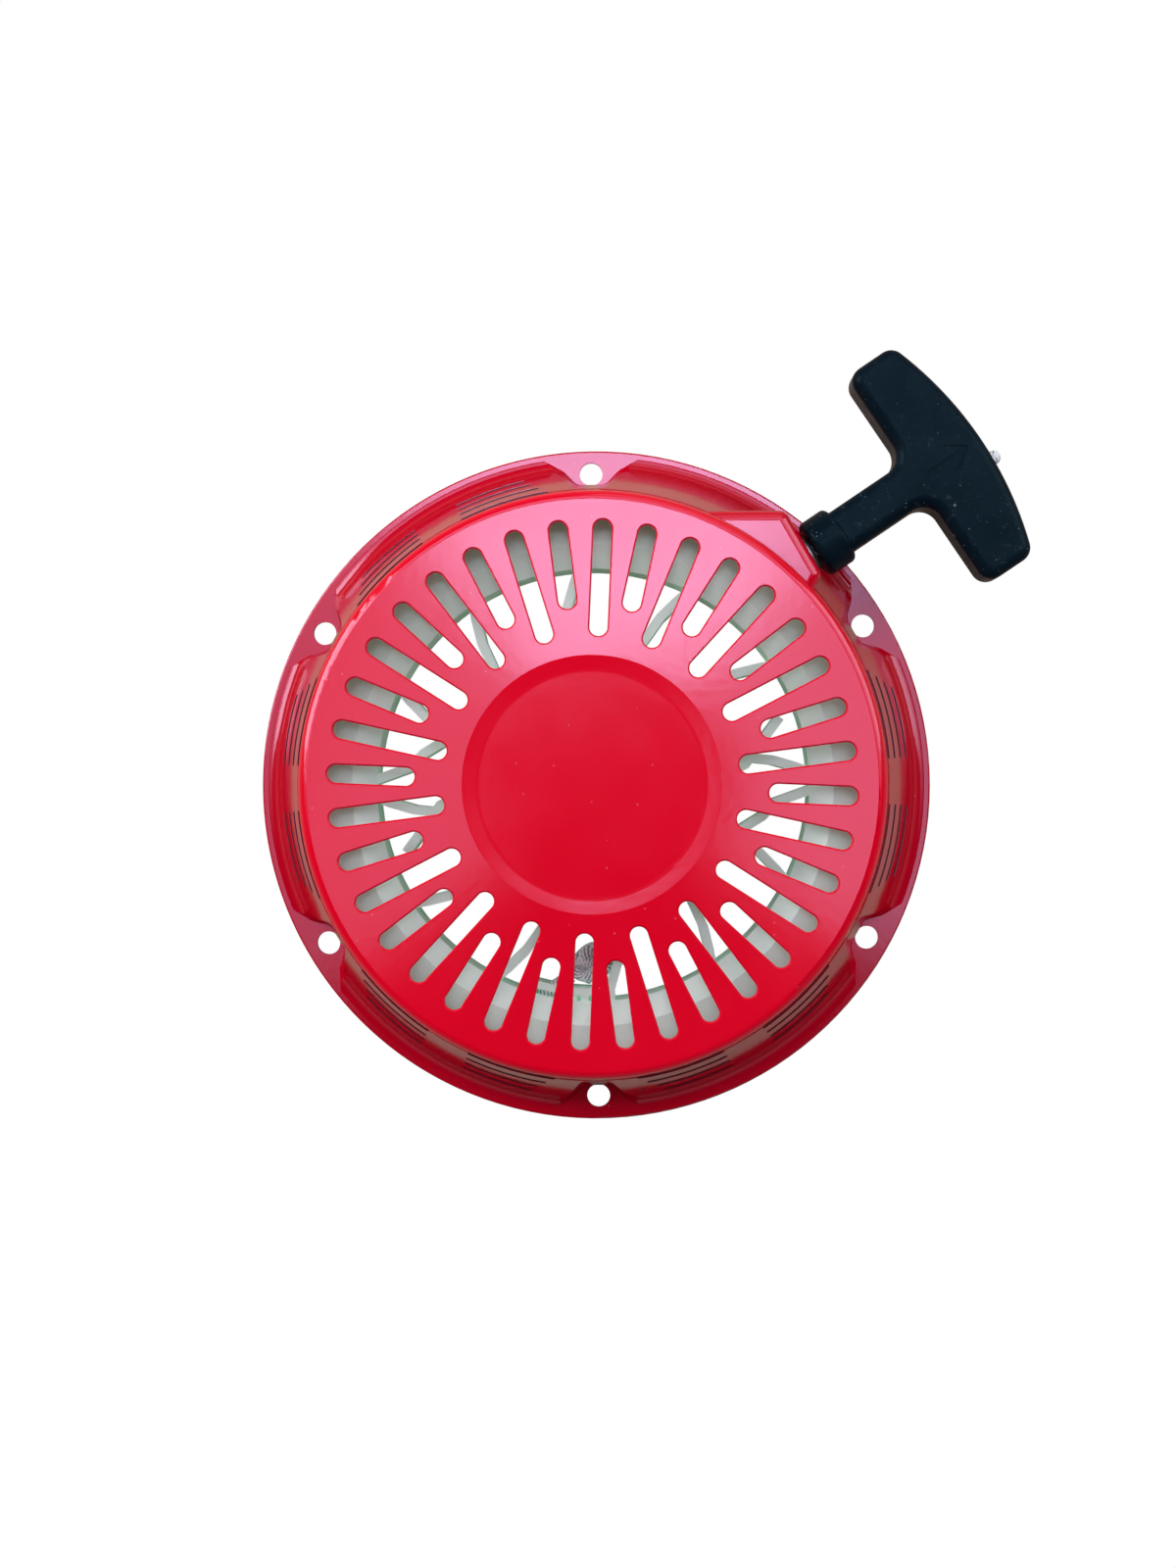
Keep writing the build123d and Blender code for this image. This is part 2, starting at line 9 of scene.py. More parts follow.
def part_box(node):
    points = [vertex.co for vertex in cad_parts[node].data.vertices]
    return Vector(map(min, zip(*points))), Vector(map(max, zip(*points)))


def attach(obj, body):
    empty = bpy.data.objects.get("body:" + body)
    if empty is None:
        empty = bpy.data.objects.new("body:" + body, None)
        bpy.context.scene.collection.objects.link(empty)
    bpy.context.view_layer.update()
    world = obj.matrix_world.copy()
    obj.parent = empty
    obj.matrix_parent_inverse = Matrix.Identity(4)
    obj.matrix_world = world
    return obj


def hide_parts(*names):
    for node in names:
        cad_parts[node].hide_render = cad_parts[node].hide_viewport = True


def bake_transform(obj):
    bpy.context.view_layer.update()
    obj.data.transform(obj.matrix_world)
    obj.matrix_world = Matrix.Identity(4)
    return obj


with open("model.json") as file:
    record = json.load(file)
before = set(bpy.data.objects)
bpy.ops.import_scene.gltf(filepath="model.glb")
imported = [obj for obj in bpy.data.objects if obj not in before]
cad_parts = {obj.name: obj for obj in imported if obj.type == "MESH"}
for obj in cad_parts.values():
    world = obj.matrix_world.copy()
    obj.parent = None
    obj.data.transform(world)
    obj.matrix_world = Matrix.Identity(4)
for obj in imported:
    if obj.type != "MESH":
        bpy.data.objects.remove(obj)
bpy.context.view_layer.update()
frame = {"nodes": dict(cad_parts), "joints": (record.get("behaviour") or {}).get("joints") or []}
nodes = frame["nodes"]
joints = {joint["name"]: joint for joint in frame["joints"]}

MM = 0.001
RANGE_KEYS = ("From Min", "From Max", "To Min", "To Max")
PULL = Vector(joints["grip_pull"]["axis"]).normalized()
SIDE = Vector((0, 0, 1)).cross(PULL)


def box_middle(node):
    """Middle of a CAD node's box."""
    low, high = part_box(node)
    return (low + high) / 2


# Rope: the same line as the CAD solids
ROPE_R = 2.3 * MM
BRAID_PITCH = 6.2 * MM
STRANDS = 10
STRAND_RELIEF = 0.045
FINE_GAP, ANCHOR_GAP = 0.35 * MM, 0.6 * MM
LAYER_GAP = 3.95 * MM
ROW_RISE = 2.35 * MM
HALF_GRIP_ROPE = 25.0 * MM
CORNER_TO_GRIP = 7.6 * MM
OUTER_TURN_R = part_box("rope_windings")[1].x - ROPE_R
INNER_TURN_R = OUTER_TURN_R - LAYER_GAP
GRIP_ORIGIN = box_middle("rope_in_grip") - PULL * HALF_GRIP_ROPE
ROPE_Z = GRIP_ORIGIN.z
ROPE_CORNER = GRIP_ORIGIN - PULL * CORNER_TO_GRIP
TANGENT_ANGLE = (atan2(ROPE_CORNER.y, ROPE_CORNER.x)
                 + acos(OUTER_TURN_R / hypot(ROPE_CORNER.x, ROPE_CORNER.y)))

# Cover: its sloping wall, where the wall's slits are, and the heights over which painted shade darkens its
# lower part
WALL_R, WALL_Z, WALL_SPREAD = 95.0 * MM, 42.0 * MM, 0.36
SLITS_LOW, SLITS_HIGH = 11.8 * MM, 42.2 * MM
SLITS_REACH = radians(22.2)
LOBES, LOBE_TURN = 6, radians(0.7)
FULL_SHADE_TOP, UNSHADED_FROM = 44 * MM, 53 * MM

# Studio
COVER_MIDDLE = (0, 0, 0.03)
FLOOR_LEVEL, FLOOR_HALF = -0.0002, 60.0
TABLE_LEVEL, TABLE_HALF = -0.0006, 3.0


# ---------------------------------------------------------------- camera, lights and floor

CAMERA_PLACE = Vector((0.0117, 0.0, 0.600))
CAMERA_TARGET = Vector((-0.0024, 0.0003, 0.0))


def make_camera():
    """Camera straight above the dome, with +Y up in the picture."""
    data = bpy.data.cameras.new("camera")
    data.sensor_width = 36.0
    data.lens = 39.9
    data.clip_start = 0.01
    camera = bpy.data.objects.new("camera", data)
    bpy.context.scene.collection.objects.link(camera)
    back = (CAMERA_PLACE - CAMERA_TARGET).normalized()
    right = Vector((0, 1, 0)).cross(back).normalized()
    up = back.cross(right)
    camera.matrix_world = Matrix((
        (right.x, up.x, back.x, CAMERA_PLACE.x),
        (right.y, up.y, back.y, CAMERA_PLACE.y),
        (right.z, up.z, back.z, CAMERA_PLACE.z),
        (0, 0, 0, 1),
    ))
    bpy.context.scene.camera = camera


def area_light(name, place, target, size, power, colour=(1, 1, 1)):
    """Rectangular soft light aimed at a point."""
    data = bpy.data.lights.new(name, "AREA")
    data.shape = "RECTANGLE"
    data.size, data.size_y = size
    data.energy = power
    data.color = colour
    light = bpy.data.objects.new(name, data)
    bpy.context.scene.collection.objects.link(light)
    light.location = place
    light.rotation_euler = (Vector(target) - Vector(place)).to_track_quat("-Z", "Y").to_euler()
    return light


class World:
    """Surroundings, worked out from the direction that the light comes from."""

    def __init__(self):
        world = bpy.data.worlds.new("studio")
        world.use_nodes = True
        self.tree = world.node_tree
        self.tree.nodes["Background"].inputs["Color"].default_value = (0.95, 0.97, 1.18, 1)
        split = self.tree.nodes.new("ShaderNodeSeparateXYZ")
        direction = self.tree.nodes.new("ShaderNodeTexCoord").outputs["Generated"]
        self.tree.links.new(direction, split.inputs["Vector"])
        self.x, self.y, self.z = split.outputs
        bpy.context.scene.world = world

    def math(self, operation, first, second=0.0):
        """Arithmetic on two values, each a socket or a number."""
        made = self.tree.nodes.new("ShaderNodeMath")
        made.operation = operation
        for index, value in enumerate((first, second)):
            if isinstance(value, (int, float)):
                made.inputs[index].default_value = value
            else:
                self.tree.links.new(value, made.inputs[index])
        return made.outputs["Value"]

    def step(self, value, low, high, out_low=0.0, out_high=1.0):
        """Smooth step of a value between two limits."""
        made = self.tree.nodes.new("ShaderNodeMapRange")
        made.interpolation_type = "SMOOTHSTEP"
        limits = (low, high, out_low, out_high)
        for key, number in zip(RANGE_KEYS, limits):
            made.inputs[key].default_value = number
        self.tree.links.new(value, made.inputs["Value"])
        return made.outputs["Result"]

    def shine(self, strength):
        """Let a value set the world's strength."""
        self.tree.links.new(strength, self.tree.nodes["Background"].inputs["Strength"])


def cone(degrees):
    """Height of a unit direction that many degrees from straight up."""
    return cos(radians(degrees))


def make_world():
    """Dim room with a ring of ceiling light, brightest towards +Y and open towards -Y, and with a
    wider, weaker band of light round it on the +Y side."""
    world = World()
    outer = world.step(world.z, cone(15.5), cone(13.0))
    inner = world.step(world.z, cone(5.3), cone(6.7))
    aside = world.math("SQRT", world.math("SUBTRACT", 1.0001, world.math("MULTIPLY", world.z, world.z)))
    back = world.math("DIVIDE", world.y, aside)
    right = world.math("DIVIDE", world.x, aside)
    sides = world.step(right, -1.0, 1.0, 1.7, 2.6)
    sides = world.math("MULTIPLY", world.step(back, -0.62, -0.50), sides)
    bright = world.step(back, 0.66, 0.90, 0.0, 7.6)
    panel = world.math("MULTIPLY", world.math("ADD", sides, bright), world.math("MULTIPLY", outer, inner))
    wide = world.step(world.z, cone(21), cone(25))
    wide = world.math("MULTIPLY", wide, world.step(world.z, cone(44), cone(38)))
    wide = world.math("MULTIPLY", wide, world.step(back, -0.2, 0.3, 0.0, 2.4))
    horizon = world.step(world.z, 0.7, 0.0, 0.02, 0.25)
    world.shine(world.math("ADD", world.math("ADD", panel, wide), horizon))


def flat_stage(name, level, half):
    """Square stage floor."""
    mesh = bpy.data.meshes.new(name)
    corners = [(-half, -half, level), (half, -half, level), (half, half, level), (-half, half, level)]
    mesh.from_pydata(corners, [], [(0, 1, 2, 3)])
    floor = bpy.data.objects.new(name, mesh)
    bpy.context.scene.collection.objects.link(floor)
    material = bpy.data.materials.new(name)
    material.use_nodes = True
    mesh.materials.append(material)
    shader = material.node_tree.nodes["Principled BSDF"]
    shader.inputs["Roughness"].default_value = 1.0
    shader.inputs["Specular IOR Level"].default_value = 0.0
    return floor, shader


def make_studio():
    """White floor to look at, a warm table top that only sends light back, and soft lights."""
    bpy.context.scene.view_settings.view_transform = "Standard"
    make_world()
    area_light("left", (-0.85, 0.40, 0.60), COVER_MIDDLE, (0.6, 0.6), 9.0)
    area_light("right", (0.85, 0.40, 0.60), COVER_MIDDLE, (0.6, 0.6), 4.5)
    area_light("back", (0.30, 0.95, 0.60), COVER_MIDDLE, (0.7, 0.4), 1.0)
    floor, shader = flat_stage("floor", FLOOR_LEVEL, FLOOR_HALF)
    floor.visible_diffuse = False
    floor.visible_glossy = False
    floor.visible_shadow = False
    shader.inputs["Base Color"].default_value = (0, 0, 0, 1)
    shader.inputs["Emission Color"].default_value = (1, 1, 1, 1)
    shader.inputs["Emission Strength"].default_value = 1.0
    table, shader = flat_stage("table", TABLE_LEVEL, TABLE_HALF)
    table.visible_camera = False
    shader.inputs["Base Color"].default_value = (0.46, 0.34, 0.26, 1)


# ---------------------------------------------------------------- materials

class Shader:
    """A Principled material that is built up node by node in object coordinates."""

    def __init__(self, name, **constants):
        self.material = bpy.data.materials.new(name)
        self.material.use_nodes = True
        self.tree = self.material.node_tree
        self.bsdf = self.tree.nodes["Principled BSDF"]
        self.place = self.node("ShaderNodeTexCoord").outputs["Object"]
        for key, value in constants.items():
            self.bsdf.inputs[key.replace("_", " ")].default_value = value

    def node(self, kind, **settings):
        """New shader node with its settings."""
        made = self.tree.nodes.new(kind)
        for key, value in settings.items():
            setattr(made, key, value)
        return made

    def link(self, source, target):
        """Feed one socket from another."""
        self.tree.links.new(source, target)

    def axes(self, vector):
        """X, Y and Z of a vector."""
        split = self.node("ShaderNodeSeparateXYZ")
        self.link(vector, split.inputs["Vector"])
        return split.outputs

    def noise(self, scale, detail=2.0, roughness=0.5, place=None, stretch=None):
        """Noise from 0 to 1 at a scale per metre."""
        texture = self.node("ShaderNodeTexNoise")
        texture.inputs["Scale"].default_value = scale
        texture.inputs["Detail"].default_value = detail
        texture.inputs["Roughness"].default_value = roughness
        source = place or self.place
        if stretch:
            mapping = self.node("ShaderNodeMapping")
            mapping.inputs["Scale"].default_value = stretch
            self.link(source, mapping.inputs["Vector"])
            source = mapping.outputs["Vector"]
        self.link(source, texture.inputs["Vector"])
        return texture.outputs["Fac"]

    def remap(self, value, low, high, out_low=0.0, out_high=1.0):
        """Clamped remap of a value."""
        made = self.node("ShaderNodeMapRange")
        limits = (low, high, out_low, out_high)
        for key, number in zip(RANGE_KEYS, limits):
            made.inputs[key].default_value = number
        self.link(value, made.inputs["Value"])
        return made.outputs["Result"]

    def math(self, operation, first, second=0.0):
        """Arithmetic on two values, each a socket or a number."""
        made = self.node("ShaderNodeMath", operation=operation)
        for index, value in enumerate((first, second)):
            if isinstance(value, (int, float)):
                made.inputs[index].default_value = value
            else:
                self.link(value, made.inputs[index])
        return made.outputs["Value"]

    def mix(self, factor, first, second):
        """Mix of two colours, each a socket or a tuple."""
        made = self.node("ShaderNodeMix", data_type="RGBA")
        self.link(factor, made.inputs["Factor"])
        for key, value in (("A", first), ("B", second)):
            socket = next(s for s in made.inputs if s.name == key and s.type == "RGBA")
            if isinstance(value, tuple):
                socket.default_value = (*value, 1)
            else:
                self.link(value, socket)
        return next(s for s in made.outputs if s.type == "RGBA")

    def bump(self, height, distance, strength=1.0, below=None):
        """Bump of a real height in metres, over an earlier bump if there is one."""
        made = self.node("ShaderNodeBump")
        made.inputs["Strength"].default_value = strength
        made.inputs["Distance"].default_value = distance
        self.link(height, made.inputs["Height"])
        if below:
            self.link(below, made.inputs["Normal"])
        return made.outputs["Normal"]

    def finish(self, colour=None, roughness=None, normal=None):
        """The material, with what drives its colour, roughness and normal."""
        if colour:
            self.link(colour, self.bsdf.inputs["Base Color"])
        if roughness:
            self.link(roughness, self.bsdf.inputs["Roughness"])
        if normal:
            self.link(normal, self.bsdf.inputs["Normal"])
        return self.material


def specks(shader, scale, share):
    """Sparse dots, as of dust: 1 inside a dot, 0 elsewhere."""
    cells = shader.node("ShaderNodeTexVoronoi")
    cells.inputs["Scale"].default_value = scale
    shader.link(shader.place, cells.inputs["Vector"])
    near = shader.remap(cells.outputs["Distance"], 0.16, 0.10)
    split = shader.node("ShaderNodeSeparateColor")
    shader.link(cells.outputs["Color"], split.inputs["Color"])
    chosen = shader.math("LESS_THAN", split.outputs["Red"], share)
    return shader.math("MULTIPLY", near, chosen)


def slit_edges(s):
    """1 on the cut edges of the wall's slits, which lie within the sheet's thickness, 0 elsewhere: the red
    paint paints shade there.
    """
    x, y, z = s.axes(s.place)
    radius = s.math("SQRT", s.math("ADD", s.math("MULTIPLY", x, x), s.math("MULTIPLY", y, y)))
    wall = s.math("SUBTRACT", WALL_R + WALL_SPREAD * WALL_Z, s.math("MULTIPLY", z, WALL_SPREAD))
    depth = s.math("SUBTRACT", wall, radius)
    skin, sheet = 0.12 * MM, 1.6 * MM
    inside = s.math("MULTIPLY", s.math("GREATER_THAN", depth, skin), s.math("LESS_THAN", depth, sheet))
    level = s.math("MULTIPLY", s.math("GREATER_THAN", z, SLITS_LOW), s.math("LESS_THAN", z, SLITS_HIGH))
    turn = s.math("MULTIPLY", s.math("SUBTRACT", s.math("ARCTAN2", y, x), LOBE_TURN), LOBES)
    lobe = s.math("GREATER_THAN", s.math("COSINE", turn), cos(LOBES * SLITS_REACH))
    return s.math("MULTIPLY", s.math("MULTIPLY", inside, level), lobe)


def red_paint():
    """Glossy red enamel with orange peel, dust and faint scratches, and painted shade that makes it darker
    down the wall and flange.
    """
    s = Shader("red_paint", Specular_IOR_Level=0.55, Coat_Weight=0.1, Coat_Roughness=0.06)
    s.bsdf.inputs["Specular Tint"].default_value = (0.85, 0.70, 1.0, 1)
    tone = s.remap(s.noise(14, 3), 0.3, 0.7)
    red = s.mix(tone, (0.66, 0.0, 0.012), (0.70, 0.001, 0.016))
    # Painted shade: below the crown the red is darkened down the wall and flange, where the dome shades
    # them.
    above_painted_shade = s.remap(s.axes(s.place)["Z"], FULL_SHADE_TOP, UNSHADED_FROM)
    red = s.mix(above_painted_shade, (0.47, 0.0, 0.011), red)
    dust = s.math("MULTIPLY", specks(s, 420, 0.04), 0.25)
    red = s.mix(dust, red, (0.75, 0.30, 0.32))
    edges = slit_edges(s)
    # Painted shade: the slits' cut edges are painted near black, for the shade inside the slits; they are
    # also made fully rough.
    red = s.mix(edges, red, (0.012, 0.002, 0.003))
    roughness = s.remap(s.noise(60, 4), 0.3, 0.7, 0.10, 0.13)
    roughness = s.math("MAXIMUM", roughness, edges)
    scratch = s.remap(s.noise(900, 1, stretch=(1.0, 0.04, 1.0)), 0.70, 0.76)
    patch = s.remap(s.noise(30, 1), 0.60, 0.68)
    scratch = s.math("MULTIPLY", scratch, patch)
    peel = s.bump(s.noise(380, 1), 0.00005, 0.30)
    normal = s.bump(scratch, 0.00002, 0.4, below=peel)
    return s.finish(red, roughness, normal)


def nylon():
    """Natural nylon, faintly green and slightly see-through, with a faint painted glow that brightens it
    inside the case.
    """
    # Painted light: a faint green glow, though the nylon is no lamp, stands in for light reaching the reel
    # inside the case.
    s = Shader("natural_nylon", Subsurface_Weight=0.25, Subsurface_Scale=0.004, Emission_Strength=0.06)
    s.bsdf.inputs["Subsurface Radius"].default_value = (1.0, 1.0, 0.8)
    s.bsdf.inputs["Emission Color"].default_value = (0.35, 1.0, 0.65, 1)
    tone = s.remap(s.noise(40, 3), 0.3, 0.7)
    colour = s.mix(tone, (0.78, 0.97, 0.84), (0.86, 0.99, 0.90))
    flow = s.noise(120, 4, stretch=(1.0, 1.0, 3.0))
    roughness = s.remap(flow, 0.3, 0.7, 0.38, 0.52)
    return s.finish(colour, roughness, s.bump(flow, 0.00006, 0.5))


def steel(name, colour, worn, roughness=(0.28, 0.42), scale=500):
    """Bare or plated steel with fine marks and slight stains."""
    s = Shader(name, Metallic=1.0)
    tone = s.remap(s.noise(90, 4), 0.35, 0.65)
    base = s.mix(tone, colour, worn)
    fine = s.noise(scale, 5, stretch=(1.0, 1.0, 0.15))
    rough = s.remap(fine, 0.3, 0.7, *roughness)
    return s.finish(base, rough, s.bump(fine, 0.00003, 0.5))


def black_plastic():
    """Moulded black plastic with a fine grain, faint scuffs, and dust that gathers towards one end."""
    s = Shader("black_plastic", Specular_IOR_Level=0.05)
    s.bsdf.inputs["Specular Tint"].default_value = (0.45, 0.85, 1.0, 1)
    tone = s.remap(s.noise(70, 3), 0.35, 0.65)
    colour = s.mix(tone, (0.0018, 0.0062, 0.0105), (0.0040, 0.0095, 0.0150))
    dusty = s.remap(s.axes(s.place)["Y"], GRIP_ORIGIN.y + 0.06, GRIP_ORIGIN.y - 0.01, 0.25, 1.0)
    fine = s.math("MAXIMUM", specks(s, 700, 0.12), specks(s, 1500, 0.10))
    coarse = specks(s, 260, 0.05)
    smudge = s.remap(s.noise(320, 5, 0.7), 0.60, 0.85, 0.0, 0.35)
    dust = s.math("MULTIPLY", s.math("MAXIMUM", s.math("MAXIMUM", fine, coarse), smudge), dusty)
    colour = s.mix(s.math("MULTIPLY", dust, 0.45), colour, (0.30, 0.36, 0.38))
    roughness = s.remap(s.noise(200, 3), 0.3, 0.7, 0.26, 0.36)
    normal = s.bump(s.noise(900, 3), 0.00004, 0.4)
    return s.finish(colour, roughness, normal)


def braid_material(name, along=None):
    """White braided cord with dark marker strands and painted shade in the gaps between the strands. Its
    coordinates run along and around the cord: they come from the mesh's own map, or for a cord that
    stretches from its place along a line."""
    s = Shader(name, Sheen_Weight=0.4, Sheen_Roughness=0.5)
    if along is None:
        length, turn, _ = s.axes(s.node("ShaderNodeTexCoord").outputs["UV"])
    else:
        origin, axis, side = along
        shift = s.node("ShaderNodeVectorMath", operation="SUBTRACT")
        s.link(s.place, shift.inputs[0])
        shift.inputs[1].default_value = origin
        parts = []
        for direction in (axis, side, axis.cross(side)):
            dot = s.node("ShaderNodeVectorMath", operation="DOT_PRODUCT")
            s.link(shift.outputs["Vector"], dot.inputs[0])
            dot.inputs[1].default_value = direction
            parts.append(dot.outputs["Value"])
        length = s.math("DIVIDE", parts[0], BRAID_PITCH)
        turn = s.math("DIVIDE", s.math("ARCTAN2", parts[2], parts[1]), 2 * pi)
    waves = []
    for way in (1, -1):
        phase = s.math("MULTIPLY", s.math("ADD", length, s.math("MULTIPLY", turn, way)), STRANDS / 2)
        waves.append(s.math("FRACT", phase))
    over = s.math("MULTIPLY", s.math("PINGPONG", waves[0], 0.5), 2.0)
    under = s.math("MULTIPLY", s.math("PINGPONG", waves[1], 0.5), 2.0)
    height = s.math("MAXIMUM", over, under)
    # Painted shade: the gaps between the raised strands are coloured grey, for the shade that falls in
    # them.
    painted_gap_shade = s.remap(height, 0.30, 0.70)
    white = s.mix(painted_gap_shade, (0.55, 0.58, 0.58), (0.90, 0.92, 0.92))
    marked = s.math("LESS_THAN", waves[0], 0.28)
    fleck = s.math("MULTIPLY", marked, s.remap(s.noise(240, 2), 0.42, 0.52))
    colour = s.mix(fleck, white, (0.07, 0.10, 0.14))
    fibre = s.noise(2500, 2)
    normal = s.bump(height, 0.0004, 0.6)
    normal = s.bump(fibre, 0.00008, 0.5, below=normal)
    roughness = s.remap(fibre, 0.3, 0.7, 0.7, 0.9)
    return s.finish(colour, roughness, normal)


def give(material, *names):
    """Give CAD nodes a material in place of their own."""
    for name in names:
        data = nodes[name].data
        data.materials.clear()
        data.materials.append(material)


# ---------------------------------------------------------------- rope

def smooth_step(value):
    """0 below 0, 1 above 1, and smooth between."""
    value = min(max(value, 0.0), 1.0)
    return value * value * (3 - 2 * value)


def tube(name, points, material, sides=20, taper=None):
    """Braided cord along closely spaced points: the strands are raised on the mesh itself."""
    count = len(points)
    tangents = []
    for index in range(count):
        ahead = points[min(index + 1, count - 1)] - points[max(index - 1, 0)]
        tangents.append(ahead.normalized())
    normal = tangents[0].orthogonal().normalized()
    vertices, maps = [], []
    run = 0.0
    for index, point in enumerate(points):
        if index:
            run += (point - points[index - 1]).length
        tangent = tangents[index]
        normal = (normal - tangent * normal.dot(tangent)).normalized()
        binormal = tangent.cross(normal)
        size = taper(index / (count - 1)) if taper else 1.0
        for step in range(sides):
            turn = step / sides
            length = run / BRAID_PITCH
            over = abs(((length + turn) * STRANDS / 2) % 1 - 0.5) * 2
            under = abs(((length - turn) * STRANDS / 2) % 1 - 0.5) * 2
            radius = ROPE_R * size * (1 - STRAND_RELIEF + STRAND_RELIEF * max(over, under))
            angle = 2 * pi * turn
            vertices.append(point + (normal * cos(angle) + binormal * sin(angle)) * radius)
            maps.append((length, turn))
    faces, uvs = [], []
    for index in range(count - 1):
        for step in range(sides):
            after = (step + 1) % sides
            a, b = index * sides + step, index * sides + after
            c, d = b + sides, a + sides
            faces.append((a, b, c, d))
            low, high = maps[a][0], maps[d][0]
            left, right = step / sides, (step + 1) / sides
            uvs += [(low, left), (low, right), (high, right), (high, left)]
    for ring, order in ((0, -1), (count - 1, 1)):
        loop = [ring * sides + step for step in range(sides)][::order]
        faces.append(tuple(loop))
        uvs += [maps[i] for i in loop]
    mesh = bpy.data.meshes.new(name)
    mesh.from_pydata(vertices, [], faces)
    layer = mesh.uv_layers.new(name="along_and_around")
    for loop, uv in zip(layer.data, uvs):
        loop.uv = uv
    mesh.polygons.foreach_set("use_smooth", [True] * len(faces))
    mesh.materials.append(material)
    piece = bpy.data.objects.new(name, mesh)
    bpy.context.scene.collection.objects.link(piece)
    return piece


def spaced(control, gap):
    """Points at an even gap along a smooth curve through control points (Catmull-Rom)."""
    substeps = 24
    padded = [control[0] * 2 - control[1]] + list(control) + [control[-1] * 2 - control[-2]]
    fine = []
    for i in range(1, len(padded) - 2):
        p0, p1, p2, p3 = padded[i - 1:i + 3]
        for step in range(substeps):
            t = step / substeps
            fine.append(0.5 * (2 * p1 + (p2 - p0) * t + (2 * p0 - 5 * p1 + 4 * p2 - p3) * t * t
                               + (3 * p1 - p0 - 3 * p2 + p3) * t ** 3))
    fine.append(padded[-2].copy())
    result, carried = [fine[0]], 0.0
    for first, second in zip(fine, fine[1:]):
        length = (second - first).length
        while carried + length >= gap:
            share = (gap - carried) / length
            first = first.lerp(second, share)
            length = (second - first).length
            result.append(first)
            carried = 0.0
        carried += length
    return result


def polar(radius, angle, height):
    """Point at a radius, angle and height about the reel's axis."""
    return Vector((radius * cos(angle), radius * sin(angle), height))


def wound_points():
    """The wound rope from the reel's anchor hole to where it leaves at a tangent. It drops to its lower
    row, then climbs to the upper row, out to the second layer and back down, once in each turn."""
    start_angle = radians(253.2)
    turns = (start_angle - TANGENT_ANGLE) / (2 * pi) + 3
    entry, crossing = 0.12, 0.14
    steps = 1500
    points = []
    for index in range(steps + 1):
        done = turns * index / steps
        first = -smooth_step(done / entry)
        across = 2 * smooth_step((done - 0.92) / crossing) - 2 * smooth_step((done - 2.93) / crossing)
        lift = smooth_step((done - 1.92) / crossing)
        radius = INNER_TURN_R + (OUTER_TURN_R - INNER_TURN_R) * lift
        points.append(polar(radius, start_angle - 2 * pi * done, ROPE_Z + ROW_RISE * (first + across)))
    return points


def anchor_points():
    """The run from the knot, out through the reel's ring, to the start of the windings."""
    knot_side = polar(62.4 * MM, radians(263.6), ROPE_Z)
    groove_side = polar(74.0 * MM, radians(253.6), ROPE_Z)
    return spaced([knot_side, knot_side.lerp(groove_side, 0.5), groove_side], ANCHOR_GAP)


def knot_points(centre, along, across, size):
    """Overhand knot on its usual polynomial curve, as evenly spaced points."""
    third = along.cross(across)
    reach, steps = 1.98, 40
    body = []
    for index in range(steps + 1):
        t = -reach + 2 * reach * index / steps
        x = t ** 3 - 3 * t
        y = t ** 4 - 4 * t * t
        z = t ** 5 - 10 * t
        flat = across * x - along * (y + 1.8) * 1.15
        body.append(centre + flat * size + third * (z / 8.5) * size * 1.25)
    return spaced(body, FINE_GAP)


def make_rope(braid):
    """The rope on the reel: windings, anchor run and knot."""
    windings = tube("wound_rope", wound_points(), braid)
    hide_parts("rope_windings")
    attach(windings, "reel")
    anchor = tube("anchor_rope", anchor_points(), braid)
    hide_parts("rope_anchor")
    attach(anchor, "reel")
    along = Vector((0.84, 0.54, 0)).normalized()
    across = Vector((-along.y, along.x, 0))
    points = knot_points(box_middle("reel_knot"), along, across, 2.0 * MM)
    knot = tube("knot_at_reel", points, braid)
    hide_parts("reel_knot")
    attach(knot, "reel")


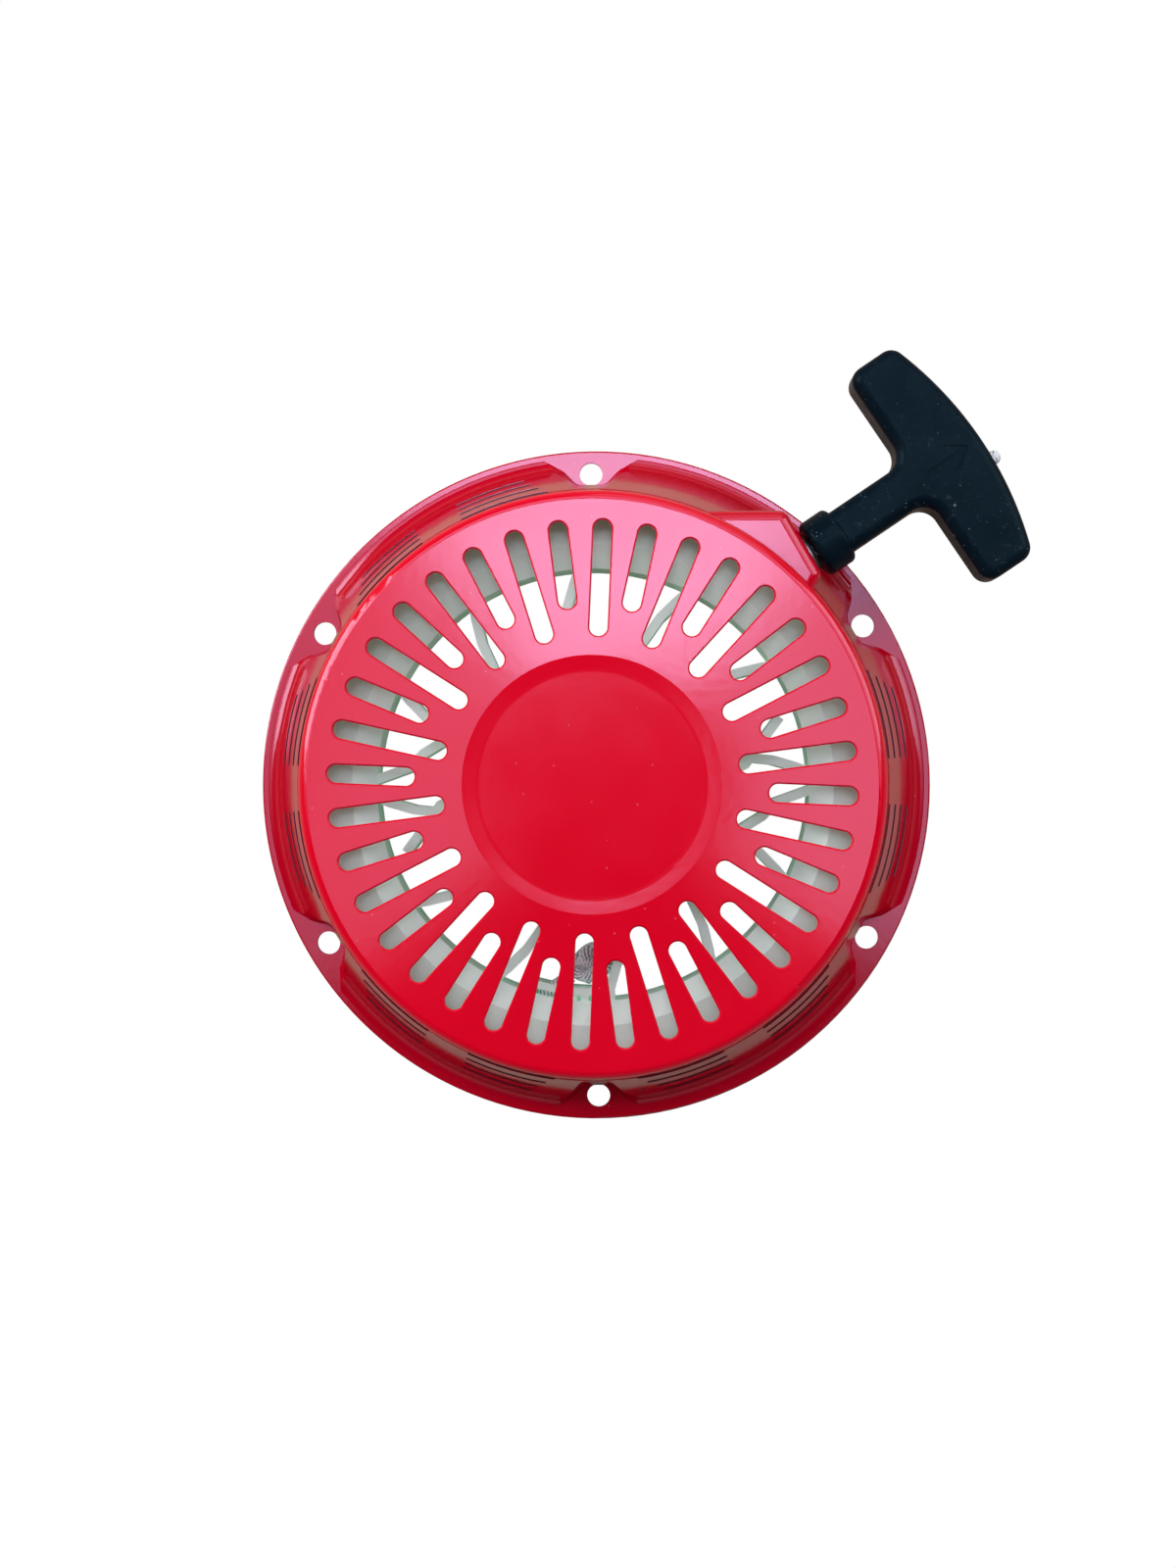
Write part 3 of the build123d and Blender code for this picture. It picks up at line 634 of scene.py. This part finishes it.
def make_lead(lead_braid):
    """Taut rope from the windings, round a bend at the corner, and straight on to the grip."""
    corner = ROPE_CORNER
    start = polar(OUTER_TURN_R, TANGENT_ANGLE, ROPE_Z - ROW_RISE)
    way = (corner - start).normalized()
    bend = 4.2 * MM
    run_steps, bend_steps, straight_steps = 60, 12, 160
    points = [start.lerp(corner, step / run_steps) for step in range(run_steps)]
    points = [p for p in points if (p - corner).length > bend]
    into, out = corner - way * bend, corner + PULL * bend
    for step in range(bend_steps):
        t = step / bend_steps
        points.append(into * (1 - t) ** 2 + corner * 2 * t * (1 - t) + out * t * t)
    end = GRIP_ORIGIN + PULL * 3.0 * MM
    points += [out.lerp(end, step / straight_steps) for step in range(straight_steps + 1)]
    lead = tube("rope_lead_braid", points, lead_braid, sides=24)
    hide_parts("rope_lead")
    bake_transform(lead)


def cut_taper(share):
    """Size of the rope's cut end along its length: it narrows over the last fifth."""
    return 1.0 - 0.4 * max(0.0, share - 0.8) / 0.2


def make_grip_rope(braid):
    """Rope in the grip, its knot and its cut end."""
    first, last = GRIP_ORIGIN + PULL * 3.2 * MM, GRIP_ORIGIN + PULL * 49.5 * MM
    inner_steps, tail_steps = 60, 16
    inner = [first.lerp(last, step / inner_steps) for step in range(inner_steps + 1)]
    run = tube("rope_inside_grip", inner, braid)
    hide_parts("rope_in_grip")
    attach(run, "grip")
    points = knot_points(box_middle("grip_knot"), PULL, SIDE, 1.05 * MM)
    knot = tube("knot_in_grip", points, braid)
    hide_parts("grip_knot")
    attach(knot, "grip")
    middle = box_middle("rope_tail")
    way = (PULL - SIDE * 0.21).normalized()
    points = [middle + way * (step - tail_steps // 2) * FINE_GAP for step in range(tail_steps + 1)]
    tail = tube("cut_rope_end", points, braid, taper=cut_taper)
    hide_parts("rope_tail")
    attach(tail, "grip")


# ---------------------------------------------------------------- the whole object

make_camera()
make_studio()

give(red_paint(), "case")
give(nylon(), "reel_rim", "reel_spokes", "reel_hub")
zinc = steel("zinc_plate", (0.60, 0.59, 0.55), (0.70, 0.69, 0.66))
dark = steel("spring_steel", (0.10, 0.11, 0.14), (0.20, 0.20, 0.21), (0.25, 0.38))
hard = steel("hardened_steel", (0.33, 0.32, 0.31), (0.45, 0.44, 0.42), (0.35, 0.50))
give(zinc, "centre_post", "centre_screw", "thrust_washer", "ratchet_guide", "knot_washer")
give(dark, "recoil_spring", "friction_spring", "pawl_spring_a", "pawl_spring_b")
give(hard, "pawl_a", "pawl_b", "outlet_guide")
give(black_plastic(), "grip")

braid = braid_material("braided_cord")
lead_braid = braid_material("braided_cord_paid_out", along=(GRIP_ORIGIN, PULL, SIDE))
make_rope(braid)
make_lead(lead_braid)
make_grip_rope(braid)
